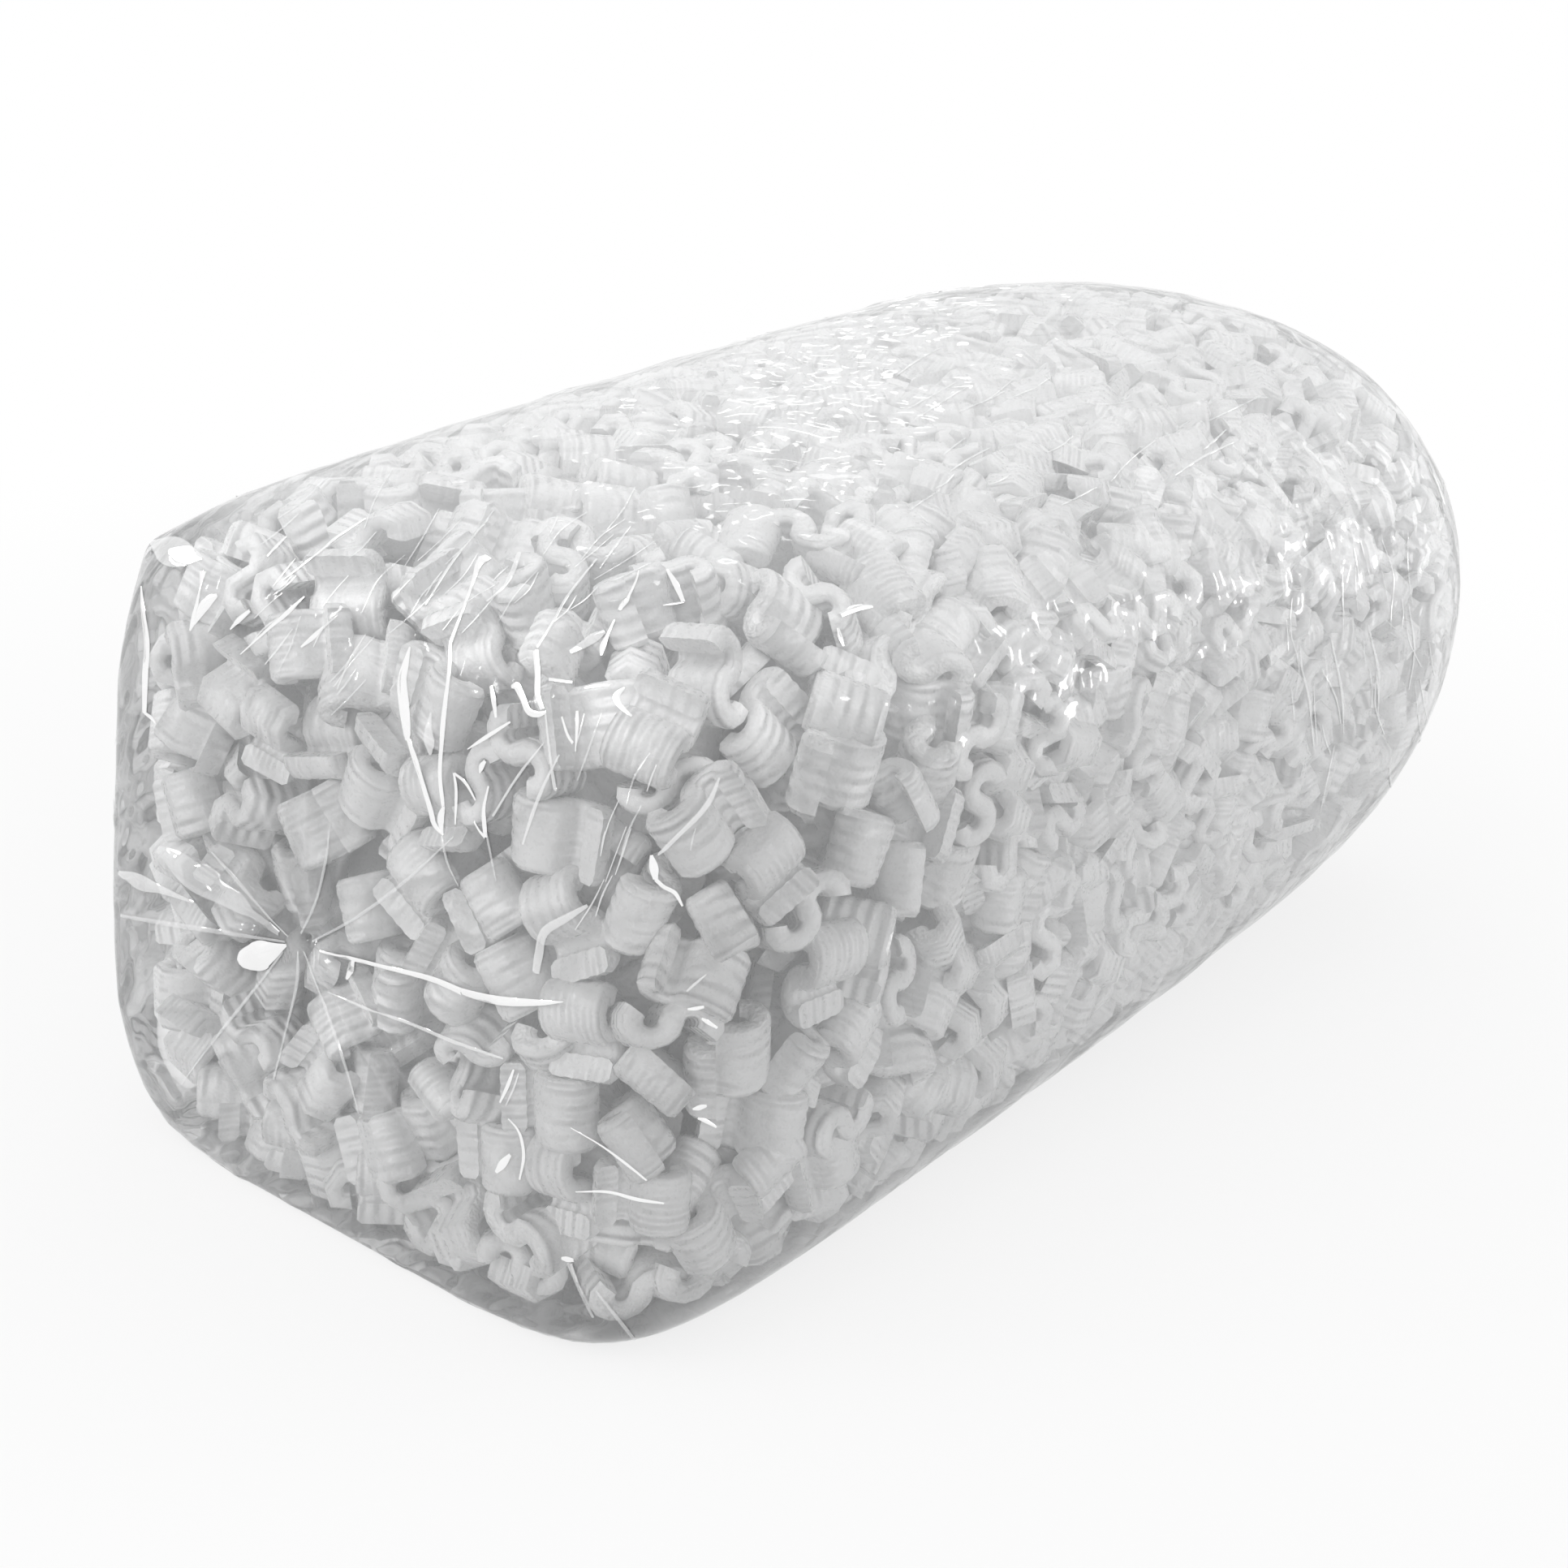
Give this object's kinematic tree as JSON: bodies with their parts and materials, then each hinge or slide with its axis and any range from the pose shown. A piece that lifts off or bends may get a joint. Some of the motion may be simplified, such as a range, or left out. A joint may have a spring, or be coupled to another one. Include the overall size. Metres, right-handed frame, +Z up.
{
  "type": "packing peanut bag",
  "caption": "Clear plastic bag, star-sealed at one square end and round at the other, lying on its side and full of white S-shaped foam packing peanuts.",
  "frame": {"origin": "on the ground, under the middle of the bag's bounding box", "axes": "+X along the bag from its square star-sealed end to its round end, +Z up as it lies, +Y across it"},
  "size_m": [0.6532, 0.389, 0.3056],
  "materials": {
    "clear_film": "clear thin film with sharp creases",
    "white_foam": "fine-celled expanded foam with a faint pearly sheen"
  },
  "bodies": {
    "root": {"bag_film": "clear_film", "peanut_fill": "white_foam", "peanut_01": "white_foam", "peanut_02": "white_foam", "peanut_03": "white_foam", "peanut_04": "white_foam", "peanut_05": "white_foam", "peanut_06": "white_foam", "peanut_07": "white_foam", "peanut_08": "white_foam", "peanut_09": "white_foam", "peanut_10": "white_foam", "peanut_11": "white_foam", "peanut_12": "white_foam", "peanut_13": "white_foam", "peanut_14": "white_foam", "peanut_15": "white_foam", "peanut_16": "white_foam", "peanut_17": "white_foam", "peanut_18": "white_foam", "peanut_19": "white_foam", "peanut_20": "white_foam", "peanut_21": "white_foam", "peanut_22": "white_foam", "peanut_23": "white_foam", "peanut_24": "white_foam", "peanut_25": "white_foam", "peanut_26": "white_foam", "peanut_27": "white_foam", "peanut_28": "white_foam", "peanut_29": "white_foam", "peanut_30": "white_foam", "peanut_31": "white_foam", "peanut_32": "white_foam", "peanut_33": "white_foam", "peanut_34": "white_foam", "peanut_35": "white_foam", "peanut_36": "white_foam", "peanut_37": "white_foam", "peanut_38": "white_foam", "peanut_39": "white_foam", "peanut_40": "white_foam"}
  },
  "joints": []
}
